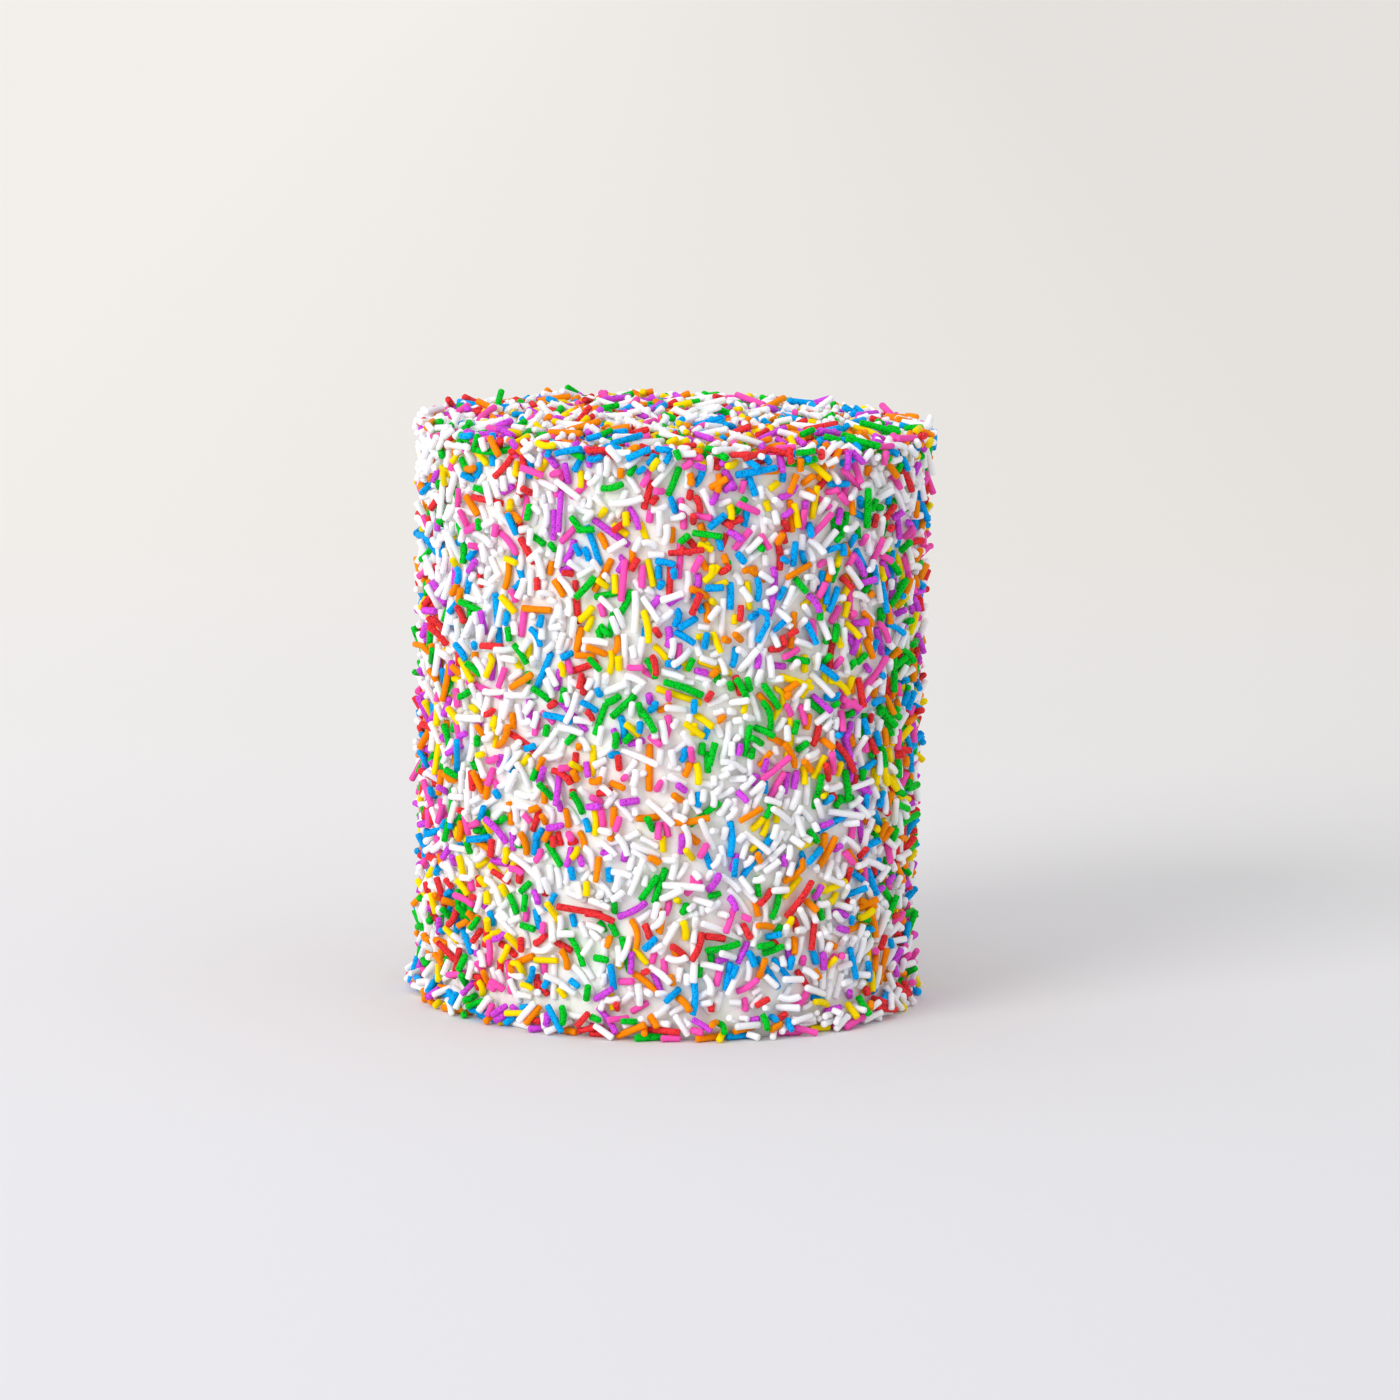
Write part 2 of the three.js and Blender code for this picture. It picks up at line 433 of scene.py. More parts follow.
def heights_on_others(balls, radius, out, near):
    # How far out each ball has to be from its place to lie on the sprinkles near it.
    others, radii = near
    if not len(others):
        return np.full(balls.shape[:-1], NOTHING)
    apart = others - balls[:, :, None]
    along = np.einsum("pbni,pi->pbn", apart, out)
    beside = np.einsum("pbni,pbni->pbn", apart, apart) - along**2
    room = (radius + radii - SQUASH) ** 2 - beside
    touching = np.where(room > 0, along + np.sqrt(np.maximum(room, 0)), NOTHING)
    return touching.max(-1)


def rest(along, heights):
    # A rod comes to rest on two points, one on each side of its middle: the pair that holds the
    # middle highest. It gives the middle's height and the slope.
    left = along < 0
    x1, h1 = along[left][:, None], heights[:, left, None]
    x2, h2 = along[~left], heights[:, None, ~left]
    slope = (h2 - h1) / (x2 - x1)
    middle = steady((h1 - slope * x1).reshape(len(heights), -1))
    slope = steady(slope.reshape(len(heights), -1))
    pair = middle.argmax(1)
    which = np.arange(len(heights))
    return middle[which, pair], slope[which, pair]


def ball_places(sprinkle):
    # Where the balls are along a sprinkle and beside it. They stop a little short of its ends.
    ends = sprinkle.length / 2 - 0.6 * sprinkle.radius
    shares = np.linspace(-ends, ends, BALLS)
    along, beside, _ = middle_line(sprinkle.length, sprinkle.turn, sprinkle.straight, shares)
    return steady(along), steady(beside)


def settle(
    sprinkle, place, direction, sunk, heap, tilts=2, skip=-1, reach=NEAR, ground=heights_on_icing
):
    # Lowers a sprinkle against the way out at each place until it rests. With no tilts it keeps its
    # direction.
    middle, out, _ = place
    near = heap.near(middle, sprinkle.length / 2 + reach, skip)
    sideways = unit(square_to(out, direction))
    along, beside = ball_places(sprinkle)
    stays = np.ones(len(middle), dtype=bool)
    for step in range(tilts + 1):
        line = along[:, None] * direction[:, None] + beside[:, None] * sideways[:, None]
        balls = middle[:, None] + line
        icing = ground(balls, sprinkle.radius - sunk, out)
        others = heights_on_others(balls, sprinkle.radius, out, near)
        height = steady(np.maximum(icing, others))
        if step == tilts:
            break
        up, slope = rest(along, height)
        stays &= (np.abs(slope) < STEEPEST) & (up > LOWEST)
        slope = np.clip(slope, -STEEPEST, STEEPEST)
        direction = steady(unit(direction + slope[:, None] * out))
        middle = steady(middle + np.maximum(up, LOWEST)[:, None] * out)
    up = height.max(1)
    above = steady(up[:, None] - np.maximum(icing, up[:, None] + LOWEST))
    middle = steady(middle + up[:, None] * out)
    balls = steady(balls + (up[:, None] * out)[:, None])
    stays &= (up > LOWEST) & (balls[..., 2].min(1) >= sprinkle.radius - 0.001)
    stays &= np.hypot(balls[..., 0], balls[..., 1]).max(1) < MOST_OUT
    stays &= balls[..., 2].max(1) < ICING_HEIGHT + MOST_UP
    return Lies(middle, direction, sideways, balls, above.min(1), above.mean(1), stays)


def seeded_draws(seed):
    # The solid's own generator of numbers from 0 to 1.
    mask = 0xFFFFFFFF
    state = seed

    def draw():
        nonlocal state
        state = (state + 0x6D2B79F5) & mask
        mixed = ((state ^ (state >> 15)) * (state | 1)) & mask
        mixed ^= (mixed + (mixed ^ (mixed >> 7)) * (mixed | 61)) & mask
        return (mixed ^ (mixed >> 14)) / 2**32

    return draw


def solid_shape(kind, index, draw, zone, bends=True):
    # The length and bend of one of the solid's sprinkles. Stepping by a prime spreads the long ones
    # evenly.
    count, shortest, longest = kind
    share = ((index * 7) % count + draw()) / count
    length = longest - (longest - shortest) * share
    bend = 0.0
    if bends and draw() < BENT_SHARE:
        bend = BEND * (0.5 + 0.5 * draw())
    return Sprinkle(length, THICKNESS / 2, 8 * bend / length, 0.0, draw_colour(), zone)


def solid_sprinkles():
    # Where the solid has its sprinkles: the same rule, with the same draws in the same order. Each
    # is a shape, a place, a heading and a lift.
    draw = seeded_draws(SOLID_SEED)
    side, top, rim, foot = [], [], [], []

    # On the side they follow an even spiral, and about one in seven sticks out.
    count = ON_SIDE[0]
    for i in range(count):
        angle = i * GOLDEN_ANGLE + 0.08 * (draw() - 0.5)
        z = SIDE_LOWEST + (SIDE_HIGHEST - SIDE_LOWEST) * (i + draw()) / count
        heading = (-1 if draw() < 0.5 else 1) * (math.pi / 2) * draw() ** UPRIGHT_BIAS
        lift = 0.2 + 0.2 * draw() if draw() < 0.14 else 0.03 * draw()
        side.append((solid_shape(ON_SIDE, i, draw, "side"), on_side(angle, z), heading, lift))

    # On the top they follow an even spiral from the middle out, and lie every way.
    count = ON_TOP[0]
    for i in range(count):
        radius = TOP_REACH * math.sqrt((i + draw()) / count)
        x = radius * math.cos(i * GOLDEN_ANGLE)
        y = radius * math.sin(i * GOLDEN_ANGLE)
        place = on_top(x, y, TOP_HEIGHT + drift_height(x, y))
        heading = 2 * math.pi * draw()
        lift = 0.15 + 0.25 * draw() if draw() < 0.25 else 0.04 * draw()
        top.append((solid_shape(ON_TOP, i, draw, "top"), place, heading, lift))

    # Over the rounded rim they lie mostly along it.
    count = ON_RIM[0]
    for i in range(count):
        angle = (i + 0.6 * draw()) / count * 2 * math.pi
        place = on_rim(np.array(angle), np.array(math.pi * (0.15 + 0.25 * draw())), TOP_HEIGHT)
        heading = math.pi / 2 + 1.3 * (draw() - 0.5)
        lift = 0.3 * draw()
        rim.append((solid_shape(ON_RIM, i, draw, "rim"), place, heading, lift))

    # At the foot they lie flat along the side, each with one end swung out.
    count = AT_FOOT[0]
    for i in range(count):
        angle = (i + 0.6 * draw()) / count * 2 * math.pi
        swing = 0.9 * (draw() - 0.5)
        shape = solid_shape(AT_FOOT, i, draw, "foot", bends=False)
        foot.append((shape, on_side(angle, 1.1 * THICKNESS / 2), math.pi / 2, swing))
    return side, top, rim, foot


def as_several(place):
    # One place in the form of several.
    return tuple(np.atleast_2d(vectors) for vectors in place)


def press_in(heap, items, sunk, reach):
    # Lays some of the solid's sprinkles. One with a lift sticks out, with one end pushed in. None
    # lies much further out than the solid has it.
    for shape, place, heading, lift in items:
        place = as_several(place)
        if lift < LIFTED_FROM:
            lies = settle(shape, place, direction_on(place, heading), sunk, heap, reach=reach)
        else:
            direction = direction_on(place, heading, lift)
            lies = settle(shape, place, direction, PUSHED_IN, heap, tilts=0, reach=reach)
        middle, out, _ = place
        up = ((lies.middles - middle) * out).sum(1, keepdims=True)
        back = np.maximum(0, up - MOST_OFF) * out
        lies.middles = lies.middles - back
        lies.balls = lies.balls - back[:, None]
        heap.add(shape, lies)


def lay_solid_foot(heap, items):
    for shape, place, _, swing in items:
        place = as_several(place)
        _, out, up = place
        direction = square_to(up, out) * math.cos(swing) + out * math.sin(swing)
        heap.add(shape, settle(shape, place, direction, FOOT_PRESSED, heap, tilts=0))


def lay(heap, zone, count, choose):
    # Lays sprinkles one by one, each at the best of the places that it chooses from.
    laid = 0
    for _ in range(MOST_TRIES * count):
        if laid >= count:
            break
        shape = draw_shape(zone)
        lies, cost = choose(heap, shape)
        cost = steady(np.where(lies.stays, cost, math.inf))
        best = cost.argmin()
        if cost[best] == math.inf:
            continue
        heap.add(shape, lies, best)
        shape.colour = draw_colour(shape.middle)
        laid += 1
        if zone in ("side", "top") and rng.random() < TWIN_SHARE:
            laid += lay_twin(heap)


def lay_twin(heap):
    # Two sprinkles of one colour that stuck together while they were soft, as a V, a T or a Y: the
    # second crosses the first near one end or at its middle. It gives how many it laid.
    first = heap.sprinkles[-1]
    twin = draw_shape(first.zone)
    twin.colour = first.colour
    upright = np.array([0, 0, 1.0])
    out = upright if first.zone == "top" else unit(first.middle * np.array([1, 1, 0]))
    share = rng.choice([-0.45, 0.0, 0.45])
    point = first.middle + first.direction * first.length * share - out * 2
    level = unit(first.direction - out * (first.direction @ out))
    turn = rng.uniform(*TWIN_TURN) * rng.choice([-1, 1])
    direction = level * math.cos(turn) + square_to(out, level) * math.sin(turn)
    place = as_several((point, out, level))
    skip = len(heap.sprinkles) - 1
    lies = settle(twin, place, direction[None], SHALLOWEST, heap, skip=skip, reach=NEAR_TWIN)
    if not lies.stays[0] or lies.gaps[0] > MOST_GAP:
        return 0
    heap.add(twin, lies)
    return 1


def patchy(angle, z):
    # How dense the sprinkles lie on the side. They were pressed on by the handful, and densest to
    # the left and the right.
    return (
        0.62
        + 0.04 * np.cos(2 * angle)
        + 0.2 * np.sin(3 * angle + z / 19 + 0.7) * np.sin(z / 13 - 2 * angle)
        + 0.16 * np.sin(8 * angle - z / 8) * np.sin(z / 6 + 5 * angle + 2)
    )


def choose_on_side(heap, shape):
    # Pressing them on by hand pushes most of them into the gaps, so each takes the lowest of a few
    # places near each other. Some take the first place, and a few stick out.
    while True:
        angle = rng.uniform(0, 2 * math.pi)
        z = rng.uniform(SIDE_FROM, SIDE_TO)
        if rng.random() < patchy(angle, z):
            break
    fate = rng.random()
    tries = 1 if fate < LOOSE_SHARE else PLACES
    angle = angle + rng.normal(0, SPREAD, tries) / RIM_RADIUS
    place = on_side(angle, np.clip(z + rng.normal(0, SPREAD, tries), SIDE_FROM, SIDE_TO))
    heading = rng.choice([-1, 1], tries) * math.pi / 2 * rng.random(tries) ** UPRIGHT_BIAS
    if fate < STANDING_SHARE:
        lift = rng.choice([-1, 1], tries) * rng.uniform(*STANDING_LIFT, tries)
        sunk = rng.uniform(*STANDING_PRESSED)
        lies = settle(shape, place, direction_on(place, heading, lift), sunk, heap, tilts=0)
    else:
        sunk = rng.uniform(SHALLOWEST, DEEPEST)
        lies = settle(shape, place, direction_on(place, heading), sunk, heap)
    fits = (lies.gaps < MOST_GAP) & (lies.heights < MOST_HEIGHT)
    return lies, np.where(fits, lies.heights, math.inf)


def wanted_top(x, y):
    # The height of the heap on the top: a bed that thins out to the rim, the drift on it, and
    # small hills.
    from_rim = (np.hypot(x, y) - THIN_AT) / THIN_WIDTH
    thin = -THINNED_BY * np.exp(-(from_rim**2))
    hills = 0.35 * np.sin(x / 6 + 2) * np.sin(y / 7) + 0.25 * np.sin(x / 2.7 - y / 3.3)
    return TOP_HEIGHT + 0.1 + 0.6 * drift_height(x, y) + thin + hills


def choose_on_top(heap, shape):
    # They fell on the top and came to rest every way, and many lean on others.
    across = TOP_EDGE * math.sqrt(rng.random())
    angle = rng.uniform(0, 2 * math.pi)
    x = across * math.cos(angle) + rng.normal(0, SPREAD_ON_TOP, PLACES)
    y = across * math.sin(angle) + rng.normal(0, SPREAD_ON_TOP, PLACES)
    place = on_top(x, y, ICING_HEIGHT)
    heading = rng.uniform(0, 2 * math.pi, PLACES)
    if rng.random() < LEANING_SHARE:
        direction = direction_on(place, heading, rng.uniform(*LEANING_LIFT, PLACES))
        lies = settle(shape, place, direction, END_PRESSED, heap, tilts=0, reach=NEAR_ON_TOP)
        most = LEANING_ABOVE_HEAP
    else:
        direction = direction_on(place, heading)
        lies = settle(shape, place, direction, TOP_PRESSED, heap, reach=NEAR_ON_TOP)
        most = ABOVE_HEAP
    lies.stays &= lies.balls[..., 2].min(1) > ICING_HEIGHT - MOST_HANG
    excess = lies.balls[..., 2].max(1) - wanted_top(x, y)
    return lies, np.where(excess < most, excess, math.inf)


def choose_on_rim(heap, shape):
    # Over the rounded rim they lie every way, and some stick out.
    angle = rng.uniform(0, 2 * math.pi) + rng.normal(0, SPREAD_ON_TOP, PLACES) / RIM_RADIUS
    place = on_rim(angle, math.pi * rng.uniform(*RIM_LEAN, PLACES), ICING_HEIGHT)
    heading = rng.uniform(0, math.pi, PLACES)
    if rng.random() < RIM_STANDING_SHARE:
        lift = rng.choice([-1, 1], PLACES) * rng.uniform(*RIM_LIFT, PLACES)
        direction = direction_on(place, heading, lift)
        lies = settle(shape, place, direction, END_PRESSED, heap, tilts=0, reach=NEAR_ON_TOP)
    else:
        direction = direction_on(place, heading)
        lies = settle(shape, place, direction, TOP_PRESSED, heap, reach=NEAR_ON_TOP)
    highest = lies.balls[..., 2].max(1)
    fits = (lies.gaps < RIM_MOST_GAP) & (highest < ICING_HEIGHT + RIM_MOST_UP)
    return lies, np.where(fits, lies.gaps + 0.3 * lies.heights, math.inf)


def choose_at_foot(heap, shape):
    # At the foot they lie every way on the floor, and on each other, where they fell against the
    # side.
    angle = rng.uniform(0, 2 * math.pi) + rng.normal(0, SPREAD, PLACES_AT_FOOT) / FOOT_RADIUS
    heading = rng.uniform(0, math.pi, PLACES_AT_FOOT)
    level = stacked(np.cos(angle), np.sin(angle), 0)
    along, _ = ball_places(shape)
    inwards = np.abs(np.cos(heading)) * along.max()
    scatter = rng.exponential(FOOT_SCATTER, PLACES_AT_FOOT)
    across = side_radius(angle, 0) + shape.radius + inwards + scatter
    upright = stacked(0 * angle, 0, 1)
    place = level * across[:, None] + upright * shape.radius, upright, level
    direction = direction_on(place, heading)
    lies = settle(shape, place, direction, -OFF_FLOOR, heap, ground=heights_on_floor)
    furthest = np.hypot(lies.balls[..., 0], lies.balls[..., 1]).max(1)
    height = lies.balls[..., 2].mean(1)
    beside = icing_distance(lies.balls).min(1)
    fits = (beside > 0.4 * shape.radius) & (height < FOOT_DEPTH)
    return lies, np.where(fits, height + 0.4 * (furthest - FOOT_RADIUS), math.inf)


def lay_all():
    # The side and the foot come first, then the top and the rim. On the side and at the foot the
    # solid's own lie under the others, and on the top and the rim among the upper ones.
    heap = Heap()
    side, top, rim, foot = solid_sprinkles()
    press_in(heap, side, SOLID_PRESSED, NEAR)
    lay_solid_foot(heap, foot)
    lay(heap, "foot", FOOT_COUNT * 2 // 3, choose_at_foot)
    lay(heap, "side", SIDE_COUNT, choose_on_side)
    lay(heap, "foot", FOOT_COUNT // 3, choose_at_foot)
    lay(heap, "top", TOP_COUNT * 2 // 3, choose_on_top)
    press_in(heap, top, TOP_PRESSED, NEAR_ON_TOP)
    lay(heap, "top", TOP_COUNT // 3, choose_on_top)
    lay(heap, "rim", RIM_COUNT // 2, choose_on_rim)
    press_in(heap, rim, TOP_PRESSED, NEAR_ON_TOP)
    lay(heap, "rim", RIM_COUNT // 2, choose_on_rim)
    return heap.sprinkles


# The sprinkles' meshes. A blank is spun once, and copies of it are stretched and bent for all the
# sprinkles of a colour, and joined. It has a radius of 1, and its blunt ends are rings at a depth
# from the end, each with its radius.
SIDES = 8
END_RINGS = ((0.0, 0.6), (0.13, 0.9), (0.42, 1.0))
BLANK_HALF = 4.0

# The least turn of a sprinkle whose blank has rings between its ends to bend at.
BENDS_FROM = 0.3


def spin_round(outline, steps):
    # An outline of radii and heights, spun round the axis.
    mesh = bmesh.new()
    verts = [mesh.verts.new((radius, 0, z)) for radius, z in outline]
    edges = [mesh.edges.new(pair) for pair in zip(verts, verts[1:])]
    bmesh.ops.spin(
        mesh, geom=verts + edges, cent=(0, 0, 0), axis=(0, 0, 1), angle=2 * math.pi,
        steps=steps, use_merge=True,
    )
    return mesh


def put_in_order(mesh):
    # A spin makes the same corners in the same order each run, but not its faces, so they are
    # sorted by their corners.
    mesh.verts.index_update()

    def order(face):
        corners = [vert.index for vert in face.verts]
        return min(corners) * len(mesh.verts) + max(corners)

    mesh.faces.sort(key=order)


def make_blank(inner_rings):
    end = END_RINGS[-1][0]
    outline = [(radius, -BLANK_HALF + depth) for depth, radius in END_RINGS]
    for ring in range(1, inner_rings + 1):
        share = 2 * ring / (inner_rings + 1) - 1
        outline.append((1.0, share * (BLANK_HALF - end)))
    outline += [(radius, BLANK_HALF - depth) for depth, radius in reversed(END_RINGS)]
    mesh = spin_round(outline, SIDES)
    bmesh.ops.holes_fill(mesh, edges=mesh.edges, sides=SIDES)
    bmesh.ops.recalc_face_normals(mesh, faces=mesh.faces)
    put_in_order(mesh)
    places = np.array([vert.co for vert in mesh.verts])
    corners = [[vert.index for vert in face.verts] for face in mesh.faces]
    mesh.free()
    return places, corners


def copies_of(blank, sprinkles):
    # The vertices of all the copies: each vertex keeps its depth from its end, and the length
    # between the ends is stretched.
    places, _ = blank
    end = END_RINGS[-1][0]
    depth = BLANK_HALF - np.abs(places[:, 2])
    length = np.array([[s.length] for s in sprinkles])
    radius = np.array([[s.radius] for s in sprinkles])
    turn = np.array([[s.turn] for s in sprinkles])
    straight = np.array([[s.straight] for s in sprinkles])
    at_end = np.sign(places[:, 2]) * (length / 2 - depth * radius)
    between = places[:, 2] / (BLANK_HALF - end) * (length / 2 - end * radius)
    along = np.where(depth <= end + 1e-4, at_end, between)
    x, y, angle = middle_line(length, turn, straight, along)

    # The rods were cut from soft strands, so their thickness wavers.
    phase = rng.uniform(0, 2 * math.pi, (len(sprinkles), 2))
    waver = 0.045 * np.sin(1.7 * along + phase[:, :1]) + 0.02 * np.sin(3.7 * along + phase[:, 1:])
    across = places[:, 0] * radius * (1 + waver)
    upright = places[:, 1] * radius * (1 + waver) * rng.uniform(0.93, 1.0, (len(sprinkles), 1))

    middle = np.array([s.middle for s in sprinkles])[:, None]
    direction = np.array([s.direction for s in sprinkles])[:, None]
    sideways = np.array([s.sideways for s in sprinkles])[:, None]
    normal = square_to(direction, sideways)
    vertices = (
        middle
        + direction * (x - np.sin(angle) * across)[..., None]
        + sideways * (y + np.cos(angle) * across)[..., None]
        + normal * upright[..., None]
    )
    return vertices.reshape(-1, 3)


def joined_mesh(name, sprinkles, blanks):
    # One mesh of many sprinkles, from arrays.
    vertices, loops, sizes, tones = [], [], [], []
    offset = 0
    for blank, fits in blanks:
        chosen = [s for s in sprinkles if fits(s)]
        if not chosen:
            continue
        count = len(blank[0])
        vertices.append(copies_of(blank, chosen))
        corners = np.concatenate(blank[1])
        starts = offset + count * np.arange(len(chosen))
        loops.append((starts[:, None] + corners).ravel())
        sizes.append(np.tile([len(face) for face in blank[1]], len(chosen)))
        tones.append(np.repeat(rng.uniform(-1, 1, len(chosen)), count))
        offset += count * len(chosen)
    vertices = np.concatenate(vertices) * MM
    loops = np.concatenate(loops).astype(np.int32)
    sizes = np.concatenate(sizes)
    starts = (np.cumsum(sizes) - sizes).astype(np.int32)
    mesh = bpy.data.meshes.new(name)
    mesh.vertices.add(len(vertices))
    mesh.vertices.foreach_set("co", vertices.ravel())
    mesh.loops.add(len(loops))
    mesh.loops.foreach_set("vertex_index", loops)
    mesh.polygons.add(len(sizes))
    mesh.polygons.foreach_set("loop_start", starts)
    mesh.polygons.foreach_set("use_smooth", np.ones(len(sizes), dtype=bool))
    mesh.update(calc_edges=True)
    tone = mesh.attributes.new("tone", "FLOAT", "POINT")
    tone.data.foreach_set("value", np.concatenate(tones))
    return mesh


def linear(hex_colour):
    # An sRGB hex value as the linear colour that the shaders take.
    levels = [int(hex_colour[i : i + 2], 16) / 255 for i in (1, 3, 5)]
    return [c / 12.92 if c <= 0.04045 else ((c + 0.055) / 1.055) ** 2.4 for c in levels] + [1.0]


def add_node(tree, kind, inputs, **settings):
    # Adds a node with its settings, its values and its links.
    node = tree.nodes.new(kind)
    for name, value in settings.items():
        setattr(node, name, value)
    for socket, value in inputs.items():
        if isinstance(value, bpy.types.NodeSocket):
            tree.links.new(value, node.inputs[socket])
        else:
            node.inputs[socket].default_value = value
    return node


def new_material(name):
    material = bpy.data.materials.new(name)
    material.use_nodes = True
    tree = material.node_tree
    return material, tree, tree.nodes["Principled BSDF"]


# The grain of the sugar, in specks to the metre: they are about 0.4 mm apart.
SUGAR_GRAIN = 2600.0


def pressed_sugar(name, colour, speck_colour, specks, light_inside):
    # Dyed sugar paste, pushed through a plate in strands and dried: matte with a faint satin
    # sheen, and a grain of specks where the dye took unevenly. Each sprinkle's own tone is a little
    # lighter or darker.
    material, tree, shader = new_material(name)
    place = add_node(tree, "ShaderNodeTexCoord", {}).outputs["Object"]
    grain = add_node(
        tree, "ShaderNodeTexNoise", {"Vector": place, "Scale": SUGAR_GRAIN, "Detail": 1.0}
    )
    speck = add_node(
        tree, "ShaderNodeMapRange",
        {"Value": grain.outputs["Fac"], "From Min": 0.52, "From Max": 0.68, "To Max": specks},
    )
    dyed = add_node(
        tree, "ShaderNodeMix",
        {"Factor": speck.outputs["Result"], "A": linear(colour), "B": linear(speck_colour)},
        data_type="RGBA",
    )
    tone = add_node(tree, "ShaderNodeAttribute", {}, attribute_name="tone")
    value = add_node(
        tree, "ShaderNodeMapRange",
        {"Value": tone.outputs["Fac"], "From Min": -1.0, "To Min": 0.93, "To Max": 1.05},
    )
    toned = add_node(
        tree, "ShaderNodeHueSaturation",
        {"Color": dyed.outputs["Result"], "Value": value.outputs["Result"]},
    )
    rough = add_node(
        tree, "ShaderNodeTexNoise", {"Vector": place, "Scale": SUGAR_GRAIN, "Detail": 3.0}
    )
    bump = add_node(
        tree, "ShaderNodeBump",
        {"Height": rough.outputs["Fac"], "Strength": 0.5, "Distance": 0.06 * MM},
    )
    tree.links.new(toned.outputs["Color"], shader.inputs["Base Color"])
    tree.links.new(bump.outputs["Normal"], shader.inputs["Normal"])
    shader.inputs["Roughness"].default_value = 0.48
    shader.inputs["Specular IOR Level"].default_value = 0.06
    shader.inputs["Subsurface Weight"].default_value = light_inside
    shader.inputs["Subsurface Radius"].default_value = (1.0, 1.0, 1.0)
    shader.inputs["Subsurface Scale"].default_value = 0.7 * MM
    return material


# Each colour with that of its specks, how strong they are, and how much light passes inside it.
# Only the white ones let any through.
SUGAR = {
    "white": ("#FCFCFE", "#F2F2F5", 0.5, 0.5),
    "red": ("#F43A3E", "#86060C", 0.75, 0.0),
    "orange": ("#FF9206", "#EE6800", 0.6, 0.0),
    "yellow": ("#FFE200", "#F8C400", 0.5, 0.0),
    "green": ("#00CE2A", "#004C08", 0.75, 0.0),
    "blue": ("#00AEFA", "#004E98", 0.75, 0.0),
    "purple": ("#DE50E8", "#7C1A88", 0.75, 0.0),
    "pink": ("#FF5ABA", "#E8369A", 0.5, 0.0),
}


# The scraper's waves in the icing and its fine grain, both to the metre: they are about 6 mm and
# 0.7 mm apart.
SCRAPER_WAVES = 160.0
ICING_GRAIN = 1500.0


def buttercream():
    # Buttercream, whipped butter and sugar smoothed with a scraper: warm white, a soft satin, and a
    # little light passes under its surface.
    material, tree, shader = new_material("smoothed_buttercream")
    place = add_node(tree, "ShaderNodeTexCoord", {}).outputs["Object"]
    soft = add_node(
        tree, "ShaderNodeTexNoise", {"Vector": place, "Scale": SCRAPER_WAVES, "Detail": 4.0}
    )
    fine = add_node(
        tree, "ShaderNodeTexNoise", {"Vector": place, "Scale": ICING_GRAIN, "Detail": 3.0}
    )
    shade = add_node(
        tree, "ShaderNodeMix",
        {"Factor": soft.outputs["Fac"], "A": linear("#FFF8F1"), "B": linear("#FEF4EC")},
        data_type="RGBA",
    )
    low = add_node(
        tree, "ShaderNodeBump",
        {"Height": soft.outputs["Fac"], "Strength": 0.5, "Distance": 0.6 * MM},
    )
    bump = add_node(
        tree, "ShaderNodeBump",
        {"Height": fine.outputs["Fac"], "Strength": 0.35, "Distance": 0.1 * MM,
         "Normal": low.outputs["Normal"]},
    )
    tree.links.new(shade.outputs["Result"], shader.inputs["Base Color"])
    tree.links.new(bump.outputs["Normal"], shader.inputs["Normal"])
    shader.inputs["Roughness"].default_value = 0.5
    shader.inputs["Subsurface Weight"].default_value = 1.0
    shader.inputs["Subsurface Radius"].default_value = (1.0, 0.8, 0.65)
    shader.inputs["Subsurface Scale"].default_value = 0.8 * MM
    return material


def icing_body():
    # The outline from the middle of the underside to the middle of the top, spun round.
    outline = [(0.0, 0.0), (FOOT_RADIUS, 0.0)]
    side_top = ICING_HEIGHT - RIM_ROUND
    for row in range(1, SIDE_ROWS + 1):
        z = side_top * row / SIDE_ROWS
        outline.append((round_radius(z), z))
    for step in range(1, RIM_STEPS + 1):
        turn = step / RIM_STEPS * math.pi / 2
        across = RIM_RADIUS - RIM_ROUND * (1 - math.cos(turn))
        outline.append((across, side_top + RIM_ROUND * math.sin(turn)))
    for ring in range(TOP_RINGS, -1, -1):
        outline.append((RING_WIDTH * ring, ICING_HEIGHT))
    mesh = spin_round(outline, STEPS_ROUND)
    bmesh.ops.remove_doubles(mesh, verts=mesh.verts, dist=0.001)
    put_in_order(mesh)
    for vert in mesh.verts:
        angle = math.atan2(vert.co.y, vert.co.x)
        across = math.hypot(vert.co.x, vert.co.y)
        share = out_of_round(angle)
        if across > FOOT_RADIUS - 0.1:
            share += hand_marks(angle, vert.co.z) / across
        vert.co.x *= share
        vert.co.y *= share
    bmesh.ops.scale(mesh, vec=(MM, MM, MM), verts=mesh.verts)
    bmesh.ops.recalc_face_normals(mesh, faces=mesh.faces)
    for face in mesh.faces:
        face.smooth = True
    data = bpy.data.meshes.new("icing")
    mesh.to_mesh(data)
    mesh.free()
    return data


def place_piece(name, mesh, material):
    piece = bpy.data.objects.new(name, mesh)
    bpy.context.collection.objects.link(piece)
    mesh.materials.append(material)
    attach(piece, "root")
    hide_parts("party_cake")
    return piece


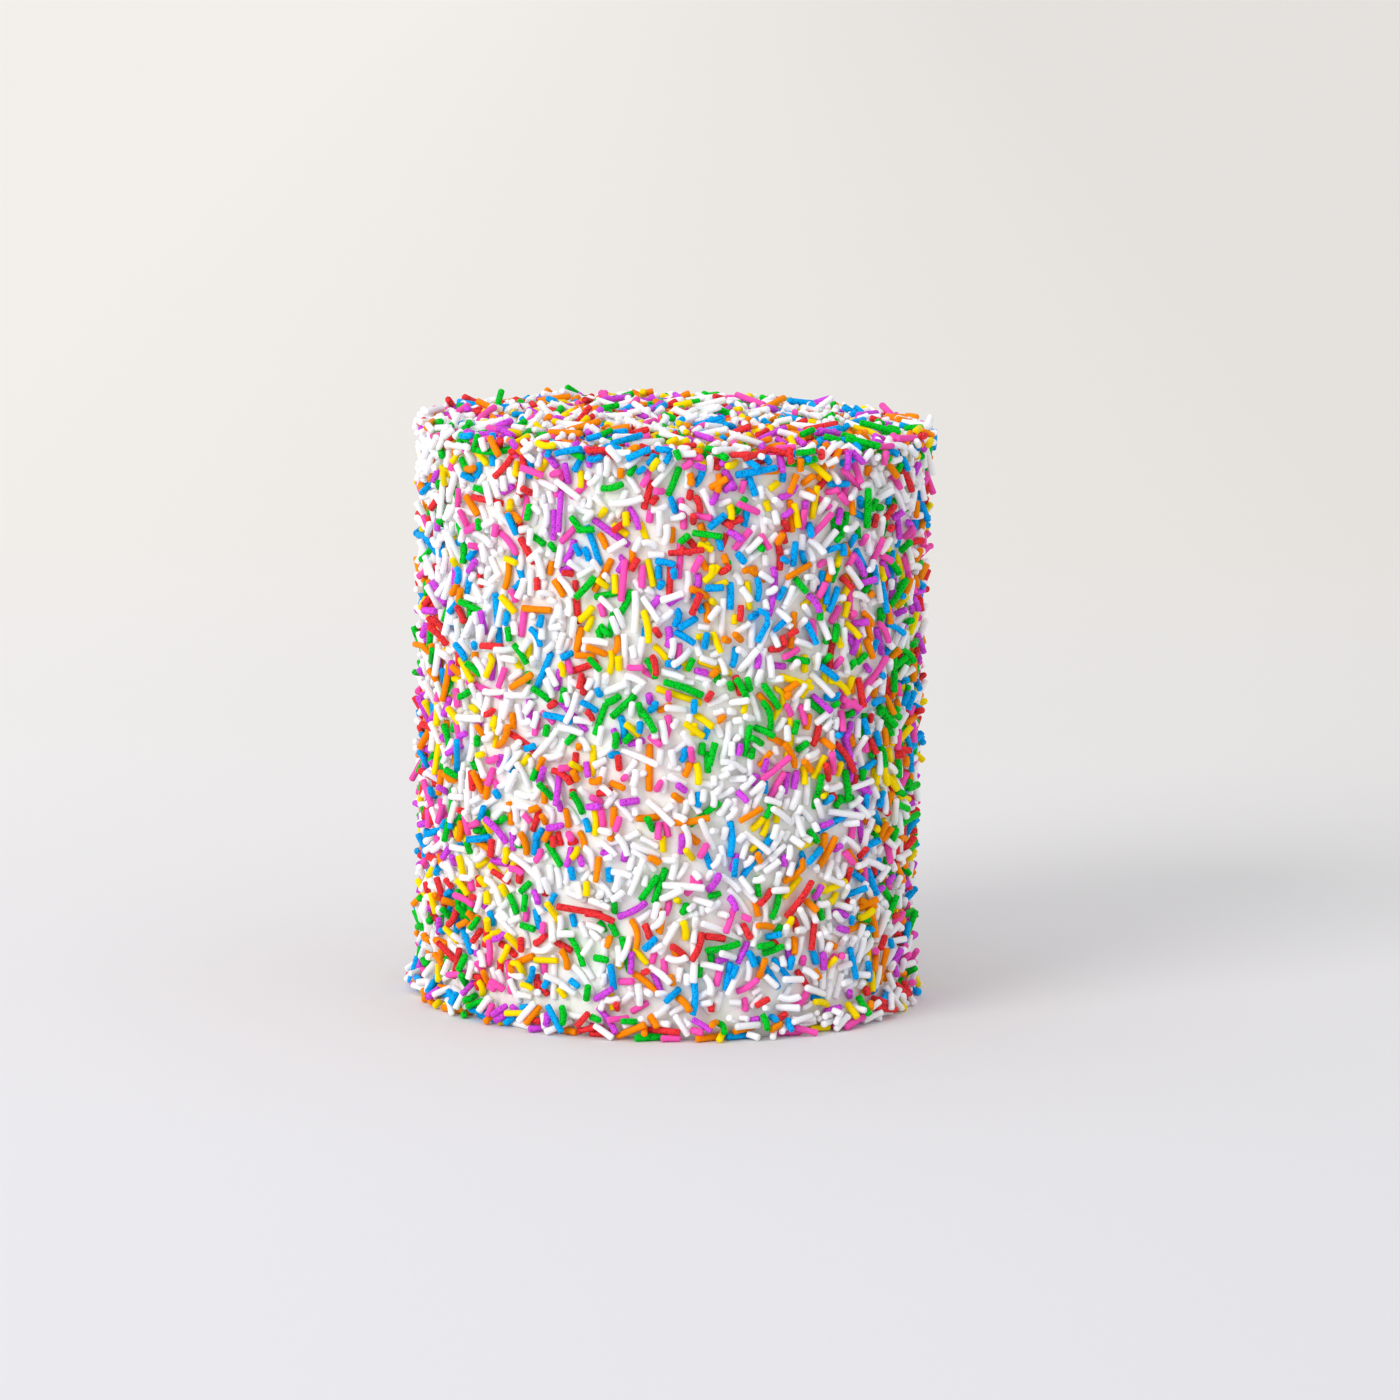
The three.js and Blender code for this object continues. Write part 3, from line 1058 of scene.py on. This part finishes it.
def make_sprinkles():
    sprinkles = lay_all()
    blanks = [
        (make_blank(1), lambda s: s.turn < BENDS_FROM),
        (make_blank(3), lambda s: s.turn >= BENDS_FROM),
    ]

    # The white ones are nearly half of all, so they are three pieces.
    groups = {name: [s for s in sprinkles if s.colour == name] for name in SUGAR}
    white = groups.pop("white")
    on_the_side = [s for s in white if s.zone in ("side", "foot")]
    groups["white_low"] = [s for s in on_the_side if s.middle[2] < ICING_HEIGHT / 2]
    groups["white_high"] = [s for s in on_the_side if s.middle[2] >= ICING_HEIGHT / 2]
    groups["white_top"] = [s for s in white if s.zone in ("top", "rim")]
    materials = {name: pressed_sugar("sugar_" + name, *look) for name, look in SUGAR.items()}
    for name, group in groups.items():
        colour = name.split("_")[0]
        mesh = joined_mesh("sprinkles_" + name, group, blanks)
        place_piece("sprinkles_" + name, mesh, materials[colour])


# The floor: half its width in metres, its colour near the cake and far off, and the painted shade
# that darkens it on the right, where less of the window's light falls.
FLOOR_HALF = 25.0
FLOOR_NEAR = "#F3F1F2"
FLOOR_FAR = "#F6F1E9"
FLOOR_RIGHT_SHADE = (0.86, 0.86, 0.86, 1.0)


def stage_floor():
    # A large plain floor of pale matte paper, a little warmer far off, with painted shade darkening
    # it on the right.
    mesh = bmesh.new()
    bmesh.ops.create_grid(mesh, x_segments=1, y_segments=1, size=FLOOR_HALF)
    data = bpy.data.meshes.new("floor")
    mesh.to_mesh(data)
    mesh.free()
    material, tree, shader = new_material("pale_paper")
    place = add_node(tree, "ShaderNodeTexCoord", {}).outputs["Object"]
    split = add_node(tree, "ShaderNodeSeparateXYZ", {"Vector": place})
    far = add_node(
        tree, "ShaderNodeMapRange",
        {"Value": split.outputs["Y"], "From Min": -0.2, "From Max": 0.8},
    )
    right = add_node(
        tree, "ShaderNodeMapRange",
        {"Value": split.outputs["X"], "From Min": -0.3, "From Max": 0.3},
    )
    warmer = add_node(
        tree, "ShaderNodeMix",
        {"Factor": far.outputs["Result"], "A": linear(FLOOR_NEAR), "B": linear(FLOOR_FAR)},
        data_type="RGBA",
    )
    # Painted shade: the floor's colour is darkened towards the right, where the window's light falls
    # off.
    painted_shade = add_node(
        tree, "ShaderNodeMix",
        {"Factor": right.outputs["Result"], "A": (1.0, 1.0, 1.0, 1.0), "B": FLOOR_RIGHT_SHADE},
        data_type="RGBA",
    )
    both = add_node(
        tree, "ShaderNodeMix",
        {"Factor": 1.0, "A": warmer.outputs["Result"], "B": painted_shade.outputs["Result"]},
        data_type="RGBA", blend_type="MULTIPLY",
    )
    tree.links.new(both.outputs["Result"], shader.inputs["Base Color"])
    shader.inputs["Roughness"].default_value = 0.9
    data.materials.append(material)
    floor = bpy.data.objects.new("floor", data)
    bpy.context.collection.objects.link(floor)


# The camera, fitted to the photograph's outline of the cake: where it stands from the cake's foot,
# how far it looks down and leans in degrees, and its lens.
CAMERA_PLACE = (7.1, -1405.0, 290.2)
CAMERA_DOWN = 8.97
CAMERA_LEAN = 1.29
CAMERA_LENS = 158.3


def make_camera():
    data = bpy.data.cameras.new("camera")
    data.sensor_width = 36.0
    data.lens = CAMERA_LENS
    data.clip_end = 200.0
    camera = bpy.data.objects.new("camera", data)
    bpy.context.collection.objects.link(camera)
    look = Matrix.Rotation(math.radians(90 - CAMERA_DOWN), 4, "X")
    lean = Matrix.Rotation(math.radians(CAMERA_LEAN), 4, "Z")
    camera.matrix_world = Matrix.Translation(Vector(CAMERA_PLACE) * MM) @ look @ lean
    bpy.context.scene.camera = camera


# The light from the window: how far left of the front and how far up it stands, and how wide it is,
# in degrees, and its strength. The light all round has its own colour and strength.
WINDOW_LEFT = 43
WINDOW_UP = 25
WINDOW_WIDTH = 30
WINDOW_STRENGTH = 1.46
ROOM_COLOUR = "#F9FBFF"
ROOM_STRENGTH = 0.82


def make_light():
    # A soft light on the left in front, as from a large window, and pale light all round.
    data = bpy.data.lights.new("window", "SUN")
    data.energy = WINDOW_STRENGTH
    data.angle = math.radians(WINDOW_WIDTH)
    window = bpy.data.objects.new("window", data)
    bpy.context.collection.objects.link(window)
    left, up = math.radians(WINDOW_LEFT), math.radians(WINDOW_UP)
    level = math.cos(up)
    away = Vector((-math.sin(left) * level, -math.cos(left) * level, math.sin(up)))
    window.rotation_euler = away.to_track_quat("Z", "Y").to_euler()

    world = bpy.data.worlds.new("room")
    world.use_nodes = True
    room = world.node_tree.nodes["Background"]
    room.inputs["Color"].default_value = linear(ROOM_COLOUR)
    room.inputs["Strength"].default_value = ROOM_STRENGTH
    bpy.context.scene.world = world
    bpy.context.scene.view_settings.view_transform = "Standard"


make_camera()
make_light()
stage_floor()
place_piece("icing", icing_body(), buttercream())
make_sprinkles()

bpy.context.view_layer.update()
